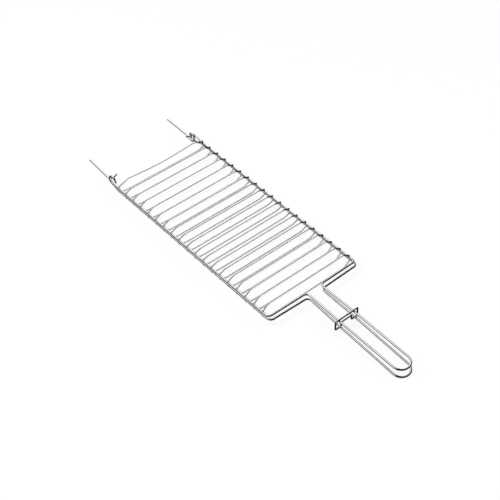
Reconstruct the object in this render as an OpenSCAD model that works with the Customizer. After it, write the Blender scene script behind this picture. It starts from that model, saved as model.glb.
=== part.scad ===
/* [Grate] */
// distance between the two rail centre lines of the upper grate
grate_w = 221; // [160:1:300]
// how much wider the lower grate is, centre to centre
lower_wider = 1.5; // [0:0.5:6]
// distance between neighbouring cross wires
pitch = 25; // [18:0.5:35]
// from the last cross wire to the front edge of the upper frame
front_margin = 16.5; // [12:0.5:30]
// how far the lower front edge stands out past the upper one
lower_front_extra = 5.7; // [4.6:0.1:8]
// how far the upper front edge bows out from the corners to the handle
front_bow = 2.9; // [0:0.1:6]
// how far the lower front edge bows out from the corners to the handle
lower_front_bow = 1.7; // [0:0.1:6]
// height of the upper rails over the lower rails, centre to centre
frame_gap = 5.3; // [4.6:0.1:12]

/* [Wire] */
// diameter of the frame wire
frame_d = 4; // [3:0.1:6]
// diameter of the cross wires
cross_d = 3; // [2:0.1:4]
// diameter of the locking ring wire
ring_d = 3.5; // [2.5:0.1:4.5]
// how deep a welded cross wire has sunk into its rail
weld_sink = 0.2; // [0.05:0.05:0.4]
// how far the upper cross wires reach past the rail centre lines
upper_over = 1; // [0.5:0.1:5]
// how far the lower cross wires reach past the rail centre lines
lower_over = 1; // [0.5:0.1:5]

/* [Food space] */
// how far the upper cross wires rise from the rail to the plateau
upper_rise = 5.9; // [4:0.1:20]
// how far the lower cross wires drop from the rail to the plateau
lower_drop = 6.2; // [4:0.1:20]
// height of the slow wave along the plateau
wave_h = 2.75; // [0:0.05:3]
// number of pitches in one wave
wave_pitches = 15; // [6:1:30]
// at which cross wire the wave is highest
wave_top = 4.1; // [1:0.1:19]
// how far each plateau moves outward from the middle of the grate to its handle end
wedge = 2.5; // [0:0.1:4]
// how far the first upper cross wire rises from the rail to its shoulders
first_rise = 9; // [5:0.1:20]
// how deep the middle of the first upper cross wire would sag with a sharp bend
first_sag = 6.7; // [2:0.1:9]
// distance from the rail to the shoulders of the first upper cross wire
first_slope_end = 24; // [15:0.5:40]
// distance from the rail to the start of the slope of a cross wire
slope_start = 2; // [1:0.5:10]
// distance from the rail to the plateau
slope_end = 13; // [12:0.5:40]
// how far the lower cross wires sit towards the handle of the upper ones
lower_wire_shift = 2; // [0:0.5:6]

/* [Hinge] */
// centre line radius of the hinge eye
eye_r = 8.5; // [7:0.1:14]
// sideways shift of the wire over the full turn of the eye
eye_shift = 4.3; // [4.2:0.1:8]
// where the eye starts, inward of the lower rail
eye_start = 3.95; // [3.5:0.05:7]
// distance from the first cross wire to the eye centre
eye_y = 28.2; // [24:0.1:40]
// how far the underside of the eye lies under the lower rail
eye_drop = 2.5; // [0.5:0.1:5]
// clearance between the hinge pin and the wire of the eye
pin_play = 0.05; // [0.01:0.01:0.1]
// angle from the hinge end up to where the pin sits in the eye
pin_angle = 70; // [45:1:85]
// reach of the pin end inward of the upper rail
pin_reach = 18.8; // [16.5:0.1:30]
// where the free end of the pin starts to bend, inward of the upper rail
pin_bend_at = 11; // [11:0.1:14]
// how far the frame wire runs straight back from the pin before it slopes to the rail
pin_arm = 6.2; // [5.6:0.1:8]
// how far past the first cross wire the rails are straight
rail_past = 4; // [2:0.5:6]
// how far the free end of the pin bends towards the prongs
pin_kick = 2.6; // [0.5:0.1:5]
// how far the free end of the pin bends upward
pin_kick_up = 1; // [0:0.1:3]
// distance from the eye centre to the prong tip
prong_len = 83.8; // [50:0.1:140]
// how far the wire rises from the eye's underside to the straight prong
prong_lift = 3.3; // [1:0.1:6]
// upward slope of the straight prong, height over length
prong_rise = 0.05; // [0:0.01:0.1]
// how far the wire runs straight back from the eye before it bends to the rail
eye_arm = 6; // [3:0.5:8]
// how far the wire runs straight on from the eye before it bends to the prong
prong_start = 5; // [3:0.5:7]
// distance from the eye centre to where the straight prong starts
prong_bend = 19; // [16:0.5:25]
// how far the prong stands outward of the end of the eye
prong_out = 1.5; // [0.5:0.1:4]
// how far the prong tip turns back inward
prong_in = 1.4; // [0.5:0.1:4]

/* [Handle] */
// distance from the upper front corners to the round end of the upper handle
handle_len = 251.1; // [150:0.1:350]
// centre distance of the handle legs at the front edge
throat_w = 34.5; // [28:0.5:60]
// centre distance of the handle legs further out
loop_w = 37.6; // [30:0.1:70]
// distance from the front edge to where the legs are fully apart
spread_at = 100; // [60:1:120]
// height of the upper handle over the upper rail at the front edge
upper_throat = 2.4; // [0:0.1:4]
// drop of the lower handle under the lower rail at the front edge
lower_throat = 1.2; // [0:0.1:4]
// drop of the upper handle at its round end, under the upper rail
upper_drop_end = 2.55; // [0:0.05:5]
// drop of the lower handle at its round end, under the lower rail
lower_drop_end = 15.5; // [6:0.1:20]
// how much further out the lower round end lies than the upper one
lower_handle_extra = 2.4; // [0:0.1:6]

/* [Locking ring] */
// distance of the ring from the upper front edge
ring_at = 93; // [80:1:120]
// outer half width of the ring, wire centre
ring_half_w = 28; // [25:0.5:40]
// height of the top bar over the upper rail, wire centre
ring_top = 5; // [3:0.1:8]
// depth of the lower corners under the upper rail, wire centre
ring_bottom = 17; // [16:0.1:24]
// depth of the raised middle of the lower bar under the upper rail
ring_hump = 5.2; // [3:0.1:12]
// half width of the raised middle of the lower bar
ring_mid_half_w = 12.8; // [8:0.1:13]
// how much wider the foot of the raised middle is on each side
ring_mid_flare = 0.6; // [0.2:0.1:1.5]

/* [Bends] */
// bend radius of a cross wire beside the rail
rail_bend = 4; // [2:0.5:6]
// bend radius of a cross wire at its shoulders
shoulder_bend = 18; // [8:1:22]
// bend radius of the first upper cross wire beside the rail
first_rail_bend = 6; // [3:0.5:10]
// bend radius in the sagging middle of the first upper cross wire
sag_bend = 500; // [200:10:700]
// bend radius of the outer front corners of the upper frame
upper_corner = 8; // [5:0.5:12]
// bend radius of the outer front corners of the lower frame
lower_corner = 9; // [5:0.5:12]
// bend radius of the inner corners between front edge and handle
inner_corner = 9; // [5:0.5:12]
// bend radius where the handle legs become parallel
leg_bend = 200; // [100:10:300]
// half length of the straight piece in the middle of each round handle end
end_straight = 0.5; // [0.3:0.1:3]
// bend radius between the pin and the arm of the upper frame
pin_bend = 4; // [3.5:0.1:4.1]
// bend radius of the free end of the pin
pin_end_bend = 8; // [5:0.5:10]
// bend radius of the upper frame between the arm and the rail
arm_bend = 12; // [8:0.5:13]
// bend radius of the lower frame between the rail and the eye, and between eye and prong
eye_bend = 15; // [10:0.5:18]
// bend radius at the start of the straight prong
prong_bend_r = 20; // [10:0.5:25]
// bend radius of the ring's corners
ring_bend = 3; // [2.5:0.1:4]

/* [Hidden] */
// smoothness of round shapes
$fn = 48;
wires = 19;
// a bend is a hair thinner than the straights, which reach a little way over its ends
step = 0.04;
lap = 0.2;
fr = frame_d / 2;
cr = cross_d / 2;
up_x = grate_w / 2;
lo_x = (grate_w + lower_wider) / 2;
up_front = -pitch * (wires - 1) - front_margin;
lo_front = up_front - lower_front_extra;
tip_y = eye_y + prong_len;
end_y = up_front - handle_len;
lower_end_y = end_y - lower_handle_extra;
// the origin lies under the middle of the whole length, at the height of the lowest point
shift_y = -(tip_y + prong_rise * fr + lower_end_y - fr) / 2;
lift = frame_gap + lower_drop_end + fr;
seat = fr + cr - weld_sink;
leg_a = throat_w / 2;
leg_b = loop_w / 2;
eye_off = eye_r - frame_d - pin_play;
pin_y = eye_y + eye_off * cos(pin_angle);
eye_low = -frame_gap - eye_drop;
eye_z = eye_low + eye_r;
pin_z = eye_z + eye_off * sin(pin_angle);
steel = [0.78, 0.79, 0.8];
steel_low = [0.66, 0.68, 0.7];
ring_col = [0.6, 0.6, 0.63];

function unit(v) = v / norm(v);
// length cut off both straights by a bend of radius r between directions a and b
function cut_len(a, b, r) = r * tan(acos(max(-1, min(1, a * b))) / 2);

// places the children with their z axis along d and their x axis along s
module aim(p, d, s) {
    y = cross(d, s);
    multmatrix([
        [s[0], y[0], d[0], p[0]],
        [s[1], y[1], d[1], p[1]],
        [s[2], y[2], d[2], p[2]],
        [0, 0, 0, 1]
    ])
    children();
}

// any direction square to d
function side_of(d) = unit(cross(d, abs(d[2]) < 0.9 ? [0, 0, 1] : [1, 0, 0]));

// a straight piece of round wire
module rod(a, b, r) {
    aim(a, unit(b - a), side_of(unit(b - a)))
    cylinder(h = norm(b - a), r = r);
}

// a round bend at corner p from direction a to direction b
module bend(p, a, b, r, br) {
    turn = acos(max(-1, min(1, a * b)));
    if (turn > 0.01) {
        n = unit(cross(a, b));
        in_a = cross(a, n);
        c = p - a * cut_len(a, b, br) - in_a * br;
        aim(c, n, in_a)
        rotate_extrude(angle = turn)
        translate([br, 0])
        circle(r = r - step);
    }
}

// a bent wire through the corners pts, with the bend radius of each corner in brs
module wire(pts, brs, r) {
    n = len(pts);
    dirs = [for (i = [0:n - 2]) unit(pts[i + 1] - pts[i])];
    cuts = [for (i = [0:n - 1]) (i == 0 || i == n - 1) ? 0 : cut_len(dirs[i - 1], dirs[i], brs[i])];
    for (i = [0:n - 2]) {
        la = i == 0 ? 0 : cuts[i] - lap;
        lb = i == n - 2 ? 0 : cuts[i + 1] - lap;
        rod(pts[i] + dirs[i] * la, pts[i + 1] - dirs[i] * lb, r);
    }
    for (i = [1:n - 2]) {
        bend(pts[i], dirs[i - 1], dirs[i], r, brs[i]);
    }
}

// half a turn of wire from p to q, starting in direction d
module half_turn(p, q, d, r) {
    c = (p + q) / 2;
    s = unit(p - c);
    aim(c, cross(s, d), s)
    rotate_extrude(angle = 180)
    translate([norm(p - c), 0])
    circle(r = r - step);
}

// the corners of the other half of a wire, in reverse order
function mirrored(half) = [for (i = [len(half) - 1:-1:0]) [-half[i][0], half[i][1], half[i][2]]];

function reversed(v) = [for (i = [len(v) - 1:-1:0]) v[i]];
// the bend radii of both halves of a wire
function both(radii) = concat(radii, reversed(radii));

// moves everything from the rail frame to the frame of the whole object
module placed() {
    translate([0, shift_y, lift])
    children();
}

// a cross wire on rails at x_rail: z_end on the rails, z_mid between its shoulders
module cross_wire(y, x_rail, over, z_end, z_mid) {
    half = [
        [x_rail + over, y, z_end],
        [x_rail - slope_start, y, z_end],
        [x_rail - slope_end, y, z_mid]
    ];
    radii = [0, rail_bend, shoulder_bend];
    wire(concat(half, mirrored(half)), both(radii), cr);
}

// the first cross wire: longer slopes, high shoulders and a sagging middle
module sagging_wire(y, x_rail, over, z_end) {
    half = [
        [x_rail + over, y, z_end],
        [x_rail - slope_start, y, z_end],
        [x_rail - first_slope_end, y, z_end + first_rise]
    ];
    middle = [[0, y, z_end + first_rise - first_sag]];
    radii = [0, first_rail_bend, shoulder_bend];
    wire(concat(half, middle, mirrored(half)), concat(radii, [sag_bend], reversed(radii)), cr);
}

// how much higher than the mean one the plateau of upper wire k lies
function wave(k) = wave_h * cos(360 * (k - wave_top) / wave_pitches) + wedge * (k - 10) / 9;

module upper_wire(k) {
    color(steel)
    placed()
    if (k == 1) {
        sagging_wire(0, up_x, upper_over, seat);
    } else {
        cross_wire(-pitch * (k - 1), up_x, upper_over, seat, seat + upper_rise + wave(k));
    }
}

module lower_wire(k) {
    y = -pitch * (k - 1) - lower_wire_shift;
    z = -frame_gap - seat;
    color(steel_low)
    placed()
    cross_wire(y, lo_x, lower_over, z, z - lower_drop - wave(k));
}

module upper_frame() {
    throat_y = up_front - front_bow;
    run = (spread_at - front_bow) / (handle_len - front_bow);
    drop = upper_throat + upper_drop_end;
    half = [
        [up_x - pin_reach, pin_y + pin_kick, pin_z + pin_kick_up],
        [up_x - pin_bend_at, pin_y, pin_z],
        [up_x, pin_y, pin_z],
        [up_x, pin_y - pin_arm, pin_z],
        [up_x, rail_past, 0],
        [up_x, up_front, 0],
        [leg_a, throat_y, upper_throat],
        [leg_b, up_front - spread_at, upper_throat - drop * run],
        [leg_b, end_y, -upper_drop_end]
    ];
    radii = [
        0, pin_end_bend, pin_bend, arm_bend, arm_bend,
        upper_corner, inner_corner, leg_bend, leg_b - end_straight
    ];
    color(steel)
    placed()
    wire(concat(half, mirrored(half)), both(radii), fr);
}

module lower_frame() {
    g = -frame_gap;
    throat_y = lo_front - lower_front_bow;
    run = (up_front - spread_at - throat_y) / (lower_end_y - throat_y);
    drop = lower_drop_end - lower_throat;
    x1 = lo_x - eye_start;
    x2 = x1 - eye_shift / 2;
    x3 = x1 - eye_shift;
    half = [
        [x1, eye_y + lap, eye_low],
        [x1, eye_y - eye_arm, eye_low],
        [lo_x, rail_past, g],
        [lo_x, lo_front, g],
        [leg_a, throat_y, g - lower_throat],
        [leg_b, up_front - spread_at, g - lower_throat - drop * run],
        [leg_b, lower_end_y, g - lower_drop_end]
    ];
    radii = [
        0, eye_bend, eye_bend, lower_corner, inner_corner, leg_bend, leg_b - end_straight
    ];
    bend_y = eye_y + prong_bend;
    bend_z = eye_low + prong_lift;
    top = eye_low + 2 * eye_r;
    color(steel_low)
    placed() {
        wire(concat(half, mirrored(half)), both(radii), fr);
        for (m = [-1, 1]) {
            prong = [
                [m * x3, eye_y - lap, eye_low],
                [m * x3, eye_y + prong_start, eye_low],
                [m * (x3 + prong_out), bend_y, bend_z],
                [m * (x3 + prong_out - prong_in), tip_y, bend_z + (tip_y - bend_y) * prong_rise]
            ];
            half_turn([m * x1, eye_y, eye_low], [m * x2, eye_y, top], [0, 1, 0], fr);
            half_turn([m * x2, eye_y, top], [m * x3, eye_y, eye_low], [0, -1, 0], fr);
            rod([m * x2, eye_y - lap, top], [m * x2, eye_y + lap, top], fr);
            wire(prong, [0, eye_bend, prong_bend_r, 0], fr);
        }
    }
}

module locking_ring() {
    y = up_front - ring_at;
    w = ring_half_w;
    half = [
        [0.05, y, ring_top],
        [w, y, ring_top],
        [w, y, -ring_bottom],
        [ring_mid_half_w + ring_mid_flare, y, -ring_bottom],
        [ring_mid_half_w, y, -ring_hump],
        [0.05, y, -ring_hump]
    ];
    radii = [0, ring_bend, ring_bend, ring_bend, ring_bend, 0];
    color(ring_col)
    placed() {
        wire(half, radii, ring_d / 2);
        wire([for (p = half) [-p[0], p[1], p[2]]], radii, ring_d / 2);
        rod([-0.05, y, ring_top], [0.05, y, ring_top], ring_d / 2);
        rod([-0.05, y, -ring_hump], [0.05, y, -ring_hump], ring_d / 2);
    }
}

module upper_cross_wire_01() {
    upper_wire(1);
}

module upper_cross_wire_02() {
    upper_wire(2);
}

module upper_cross_wire_03() {
    upper_wire(3);
}

module upper_cross_wire_04() {
    upper_wire(4);
}

module upper_cross_wire_05() {
    upper_wire(5);
}

module upper_cross_wire_06() {
    upper_wire(6);
}

module upper_cross_wire_07() {
    upper_wire(7);
}

module upper_cross_wire_08() {
    upper_wire(8);
}

module upper_cross_wire_09() {
    upper_wire(9);
}

module upper_cross_wire_10() {
    upper_wire(10);
}

module upper_cross_wire_11() {
    upper_wire(11);
}

module upper_cross_wire_12() {
    upper_wire(12);
}

module upper_cross_wire_13() {
    upper_wire(13);
}

module upper_cross_wire_14() {
    upper_wire(14);
}

module upper_cross_wire_15() {
    upper_wire(15);
}

module upper_cross_wire_16() {
    upper_wire(16);
}

module upper_cross_wire_17() {
    upper_wire(17);
}

module upper_cross_wire_18() {
    upper_wire(18);
}

module upper_cross_wire_19() {
    upper_wire(19);
}

module lower_cross_wire_01() {
    lower_wire(1);
}

module lower_cross_wire_02() {
    lower_wire(2);
}

module lower_cross_wire_03() {
    lower_wire(3);
}

module lower_cross_wire_04() {
    lower_wire(4);
}

module lower_cross_wire_05() {
    lower_wire(5);
}

module lower_cross_wire_06() {
    lower_wire(6);
}

module lower_cross_wire_07() {
    lower_wire(7);
}

module lower_cross_wire_08() {
    lower_wire(8);
}

module lower_cross_wire_09() {
    lower_wire(9);
}

module lower_cross_wire_10() {
    lower_wire(10);
}

module lower_cross_wire_11() {
    lower_wire(11);
}

module lower_cross_wire_12() {
    lower_wire(12);
}

module lower_cross_wire_13() {
    lower_wire(13);
}

module lower_cross_wire_14() {
    lower_wire(14);
}

module lower_cross_wire_15() {
    lower_wire(15);
}

module lower_cross_wire_16() {
    lower_wire(16);
}

module lower_cross_wire_17() {
    lower_wire(17);
}

module lower_cross_wire_18() {
    lower_wire(18);
}

module lower_cross_wire_19() {
    lower_wire(19);
}

upper_frame();
lower_frame();
upper_cross_wire_01();
upper_cross_wire_02();
upper_cross_wire_03();
upper_cross_wire_04();
upper_cross_wire_05();
upper_cross_wire_06();
upper_cross_wire_07();
upper_cross_wire_08();
upper_cross_wire_09();
upper_cross_wire_10();
upper_cross_wire_11();
upper_cross_wire_12();
upper_cross_wire_13();
upper_cross_wire_14();
upper_cross_wire_15();
upper_cross_wire_16();
upper_cross_wire_17();
upper_cross_wire_18();
upper_cross_wire_19();
lower_cross_wire_01();
lower_cross_wire_02();
lower_cross_wire_03();
lower_cross_wire_04();
lower_cross_wire_05();
lower_cross_wire_06();
lower_cross_wire_07();
lower_cross_wire_08();
lower_cross_wire_09();
lower_cross_wire_10();
lower_cross_wire_11();
lower_cross_wire_12();
lower_cross_wire_13();
lower_cross_wire_14();
lower_cross_wire_15();
lower_cross_wire_16();
lower_cross_wire_17();
lower_cross_wire_18();
lower_cross_wire_19();
locking_ring();
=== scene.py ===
"""Looks of the double grill grate: plated wire on a plain white ground, in the CAD model's frame."""
import math

import bmesh
import bpy
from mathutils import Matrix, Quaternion, Vector

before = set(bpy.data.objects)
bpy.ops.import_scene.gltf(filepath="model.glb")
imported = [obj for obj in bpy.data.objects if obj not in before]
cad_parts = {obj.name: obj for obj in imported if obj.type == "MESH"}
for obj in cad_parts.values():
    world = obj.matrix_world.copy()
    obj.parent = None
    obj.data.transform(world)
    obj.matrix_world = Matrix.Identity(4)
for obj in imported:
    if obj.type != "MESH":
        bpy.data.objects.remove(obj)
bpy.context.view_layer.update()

# The camera: where it stands (metres, in the part's frame) and how it looks. The angles and the
# focal length come from the photograph's vanishing lines.
CAMERA_AT = Vector((-1.12723, -1.30299, 1.73638))
VIEW_AZIMUTH = 49.543  # degrees from +X towards +Y
VIEW_DOWN = 45.194
VIEW_ROLL = -0.165
FOCAL_MM = 89.34
SENSOR_MM = 36.0
SHIFT_X = -0.001
SHIFT_Y = 0.001

# the ground: a plain disc, which turns fully white between these distances from the part's middle
GROUND_REACH = 6.0  # metres
FADE_FROM = 0.6
FADE_TO = 1.6
WHITE_NEAR = 0.85

# the dark cards, in metres and degrees
CARD_DIST = 2.0
CARD_STEP = 15
FLOOR_REACH = 4.0
FLOOR_AT = 0.0002
# the overhead card hangs over the handle's end, so only the round ends and corners reflect it
TOP_HEIGHT = 3.0
TOP_REACH = 1.25
TOP_Y = -0.45

# where the darkening at the welded ends of the upper cross wires starts and reaches full strength,
# metres from the middle; it is partly a weld tint, partly painted shade
MARK_FROM = 0.0935
MARK_TO = 0.0985
# the darkening's colour, and how strong it is on the right and on the left: a weld tint on both ends,
# with painted shade added on the right
WELD_TINT_AND_SHADE = ((0.05, 0.05, 0.05), 1.0, 0.3)


class Nodes:
    """A short way to write a node tree."""

    def __init__(self, tree):
        self.tree = tree
        tree.nodes.clear()

    def add(self, kind, **values):
        node = self.tree.nodes.new(kind)
        for key, value in values.items():
            if hasattr(node, key):
                setattr(node, key, value)
            else:
                node.inputs[key.replace("_", " ")].default_value = value
        return node

    def link(self, out, into):
        self.tree.links.new(out, into)

    def math(self, operation, first, second):
        node = self.add("ShaderNodeMath", operation=operation)
        self.link(first, node.inputs[0])
        self.link(second, node.inputs[1])
        return node.outputs[0]

    def mix(self, share, first, second):
        node = self.add("ShaderNodeMixShader")
        for i, out in enumerate((share, first, second)):
            self.link(out, node.inputs[i])
        return node.outputs[0]


def ramp(nodes, factor, stops):
    node = nodes.add("ShaderNodeValToRGB")
    elements = node.color_ramp.elements
    while len(elements) < len(stops):
        elements.new(0.5)
    for element, (at, color) in zip(elements, stops):
        element.position = at
        element.color = (*color, 1.0)
    nodes.link(factor, node.inputs["Fac"])
    return node.outputs["Color"]


def span(nodes, value, low, high, to_low, to_high):
    node = nodes.add("ShaderNodeMapRange", clamp=True)
    nodes.link(value, node.inputs["Value"])
    for name, number in (("From Min", low), ("From Max", high), ("To Min", to_low), ("To Max", to_high)):
        node.inputs[name].default_value = number
    return node.outputs["Result"]


def seen_by(nodes, *rays):
    """1 for the named kinds of ray, 0 for all others."""
    path = nodes.add("ShaderNodeLightPath")
    seen = path.outputs[rays[0]]
    for ray in rays[1:]:
        seen = nodes.math("MAXIMUM", seen, path.outputs[ray])
    return seen


def weld_tint_and_painted_shade(nodes, place, tone, shade, right, left):
    """Darkens the tone towards the welded ends of a wire along X: a weld tint with painted shade; right
    and left say how much.
    """
    cut = nodes.add("ShaderNodeSeparateXYZ")
    nodes.link(place, cut.inputs[0])
    ends = [span(nodes, cut.outputs["X"], sign * MARK_FROM, sign * MARK_TO, 0.0, share)
            for sign, share in ((1.0, right), (-1.0, left))]
    mix = nodes.add("ShaderNodeMixRGB", Color2=(*shade, 1.0))
    nodes.link(nodes.math("ADD", *ends), mix.inputs["Fac"])
    nodes.link(tone, mix.inputs["Color1"])
    return mix.outputs["Color"]


def plated_steel(name, pale, deep, polish, dull, metal=1.0, end_tint_and_shade=None):
    """Bright plating on drawn wire: cloudy tone, fine pits, and roughness that varies along the wire."""
    mat = bpy.data.materials.new(name)
    mat.use_nodes = True
    n = Nodes(mat.node_tree)
    place = n.add("ShaderNodeTexCoord").outputs["Object"]
    cloud = n.add("ShaderNodeTexNoise", Scale=38.0, Detail=4.0, Roughness=0.6)
    grain = n.add("ShaderNodeTexNoise", Scale=1500.0, Detail=3.0, Roughness=0.7)
    for texture in (cloud, grain):
        n.link(place, texture.inputs["Vector"])
    tone = ramp(n, cloud.outputs["Fac"], [(0.30, deep), (0.62, pale)])
    # painted shade at the welded wire ends, on top of a weld tint
    if end_tint_and_shade:
        tone = weld_tint_and_painted_shade(n, place, tone, *end_tint_and_shade)
    rough = span(n, cloud.outputs["Fac"], 0.3, 0.7, dull, polish)
    bump = n.add("ShaderNodeBump", Strength=0.08, Distance=0.00004)
    n.link(grain.outputs["Fac"], bump.inputs["Height"])
    shader = n.add("ShaderNodeBsdfPrincipled", Metallic=metal, IOR=2.5)
    n.link(tone, shader.inputs["Base Color"])
    n.link(rough, shader.inputs["Roughness"])
    n.link(bump.outputs["Normal"], shader.inputs["Normal"])
    out = n.add("ShaderNodeOutputMaterial")
    n.link(shader.outputs["BSDF"], out.inputs["Surface"])
    return mat


# Materials on the CAD wires: pale and deep tone, roughness where polished and where dull, metal share

FRAME_STEEL = plated_steel("frame_plating", (0.98, 0.98, 0.985), (0.95, 0.95, 0.96), 0.02, 0.05)
SATIN = ((0.95, 0.95, 0.96), (0.88, 0.88, 0.89), 0.36, 0.48, 0.62)
CROSS_STEEL = plated_steel("cross_plating", *SATIN)
# the upper cross wires' plating carries a weld tint and painted shade at their ends
WELD_TINT_AND_SHADE_STEEL = plated_steel("weld_tint_and_shade_plating", *SATIN, WELD_TINT_AND_SHADE)
RING_STEEL = plated_steel("ring_plating", (0.90, 0.90, 0.91), (0.80, 0.80, 0.82), 0.03, 0.08)


def dress(node, material):
    obj = bpy.data.objects[node]
    obj.data.materials.clear()
    obj.data.materials.append(material)
    for face in obj.data.polygons:
        face.use_smooth = True


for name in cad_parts:
    if name == "locking_ring":
        dress(name, RING_STEEL)
    elif "upper_cross_wire" in name:
        # the upper cross wires get the weld tint and painted shade at their ends
        dress(name, WELD_TINT_AND_SHADE_STEEL)
    elif "cross_wire" in name:
        dress(name, CROSS_STEEL)
    else:
        dress(name, FRAME_STEEL)


def look(azimuth, down):
    """The direction of a view, from its azimuth and its angle below the horizon."""
    a, e = math.radians(azimuth), math.radians(down)
    return Vector((math.cos(e) * math.cos(a), math.cos(e) * math.sin(a), -math.sin(e)))


def set_camera():
    data = bpy.data.cameras.new("camera")
    data.lens = FOCAL_MM
    data.sensor_width = SENSOR_MM
    data.shift_x = SHIFT_X
    data.shift_y = SHIFT_Y
    data.clip_start = 0.05
    data.clip_end = 50.0
    cam = bpy.data.objects.new("camera", data)
    cam.location = CAMERA_AT
    level = look(VIEW_AZIMUTH, VIEW_DOWN).to_track_quat("-Z", "Y")
    roll = Quaternion((0.0, 0.0, 1.0), math.radians(VIEW_ROLL))
    cam.rotation_euler = (level @ roll).to_euler()
    bpy.context.scene.collection.objects.link(cam)
    bpy.context.scene.camera = cam


def add_lamp(name, place, size, watts):
    """A square lamp that shines at the part's middle and that no reflection shows."""
    data = bpy.data.lights.new(name, "AREA")
    data.shape = "SQUARE"
    data.size = size
    data.energy = watts
    lamp = bpy.data.objects.new(name, data)
    lamp.visible_glossy = False
    lamp.location = place
    lamp.rotation_euler = (-Vector(place)).to_track_quat("-Z", "Y").to_euler()
    bpy.context.scene.collection.objects.link(lamp)


def set_light():
    add_lamp("key", (-1.6, 0.9, 2.6), size=1.6, watts=60.0)
    add_lamp("fill", (1.8, -1.4, 2.0), size=2.0, watts=30.0)
    world = bpy.data.worlds.new("studio")
    bpy.context.scene.world = world
    world.use_nodes = True
    n = Nodes(world.node_tree)
    seen = seen_by(n, "Is Camera Ray", "Is Glossy Ray", "Is Transmission Ray")
    plain = n.add("ShaderNodeBackground", Color=(1, 1, 1, 1), Strength=0.55)
    white = n.add("ShaderNodeBackground", Color=(1, 1, 1, 1), Strength=1.0)
    out = n.add("ShaderNodeOutputWorld")
    n.link(n.mix(seen, plain.outputs[0], white.outputs[0]), out.inputs["Surface"])


def set_ground():
    """The ground: it takes the part's soft shadow, and shows as white to the camera."""
    mesh = bpy.data.meshes.new("ground")
    bm = bmesh.new()
    bmesh.ops.create_circle(bm, cap_ends=True, radius=GROUND_REACH, segments=64)
    bm.to_mesh(mesh)
    bm.free()
    ground = bpy.data.objects.new("ground", mesh)
    bpy.context.scene.collection.objects.link(ground)
    mat = bpy.data.materials.new("ground_paint")
    mat.use_nodes = True
    n = Nodes(mat.node_tree)
    seen = seen_by(n, "Is Camera Ray", "Is Glossy Ray")
    away = n.add("ShaderNodeVectorMath", operation="LENGTH")
    n.link(n.add("ShaderNodeTexCoord").outputs["Object"], away.inputs[0])
    whiteness = span(n, away.outputs["Value"], FADE_FROM, FADE_TO, WHITE_NEAR, 1.0)
    paint = n.add("ShaderNodeBsdfDiffuse", Color=(0.9, 0.9, 0.9, 1))
    glow = n.add("ShaderNodeEmission", Color=(1, 1, 1, 1), Strength=1.0)
    out = n.add("ShaderNodeOutputMaterial")
    mixed = n.mix(n.math("MULTIPLY", seen, whiteness), paint.outputs[0], glow.outputs[0])
    n.link(mixed, out.inputs["Surface"])
    mesh.materials.append(mat)


def add_card(name, corners, tone):
    """A dark studio card: only reflections see it, so the plating gets its dark lines from it."""
    mesh = bpy.data.meshes.new(name)
    mesh.from_pydata(corners, [], [tuple(range(len(corners)))])
    card = bpy.data.objects.new(name, mesh)
    bpy.context.scene.collection.objects.link(card)
    mat = bpy.data.materials.new(name + "_paint")
    mat.use_nodes = True
    n = Nodes(mat.node_tree)
    glow = n.add("ShaderNodeEmission", Color=(tone, tone, tone, 1), Strength=1.0)
    out = n.add("ShaderNodeOutputMaterial")
    n.link(glow.outputs[0], out.inputs["Surface"])
    mesh.materials.append(mat)
    card.visible_camera = False
    card.visible_diffuse = False
    card.visible_transmission = False
    card.visible_volume_scatter = False
    card.visible_shadow = False


def add_wall(name, from_deg, to_deg, top_deg, tone):
    """A dark wall at CARD_DIST from the part's middle, up to top_deg over the ground."""
    steps = max(2, round((to_deg - from_deg) / CARD_STEP))
    height = CARD_DIST * math.tan(math.radians(top_deg))
    for i in range(steps):
        near, far = [math.radians(from_deg + (to_deg - from_deg) * k / steps) for k in (i, i + 1)]
        ends = [(CARD_DIST * math.cos(a), CARD_DIST * math.sin(a)) for a in (near, far)]
        corners = [(*ends[0], 0.0), (*ends[1], 0.0), (*ends[1], height), (*ends[0], height)]
        add_card(f"{name}_{i:02d}", corners, tone)


def set_cards():
    sides = ((-1, -1), (1, -1), (1, 1), (-1, 1))
    add_card("card_floor", [(x * FLOOR_REACH, y * FLOOR_REACH, FLOOR_AT) for x, y in sides], 0.02)
    add_wall("card_right", -95, 30, 74, 0.02)
    add_wall("card_left", 110, 195, 27, 0.01)
    add_wall("card_behind", 195, 265, 66, 0.01)
    turns = [math.radians(a) for a in range(0, 360, CARD_STEP)]
    rim = [(TOP_REACH * math.cos(a), TOP_Y + TOP_REACH * math.sin(a), TOP_HEIGHT) for a in turns]
    add_card("card_top", rim, 0.01)


set_camera()
set_light()
set_ground()
set_cards()
bpy.context.scene.view_settings.view_transform = "Standard"
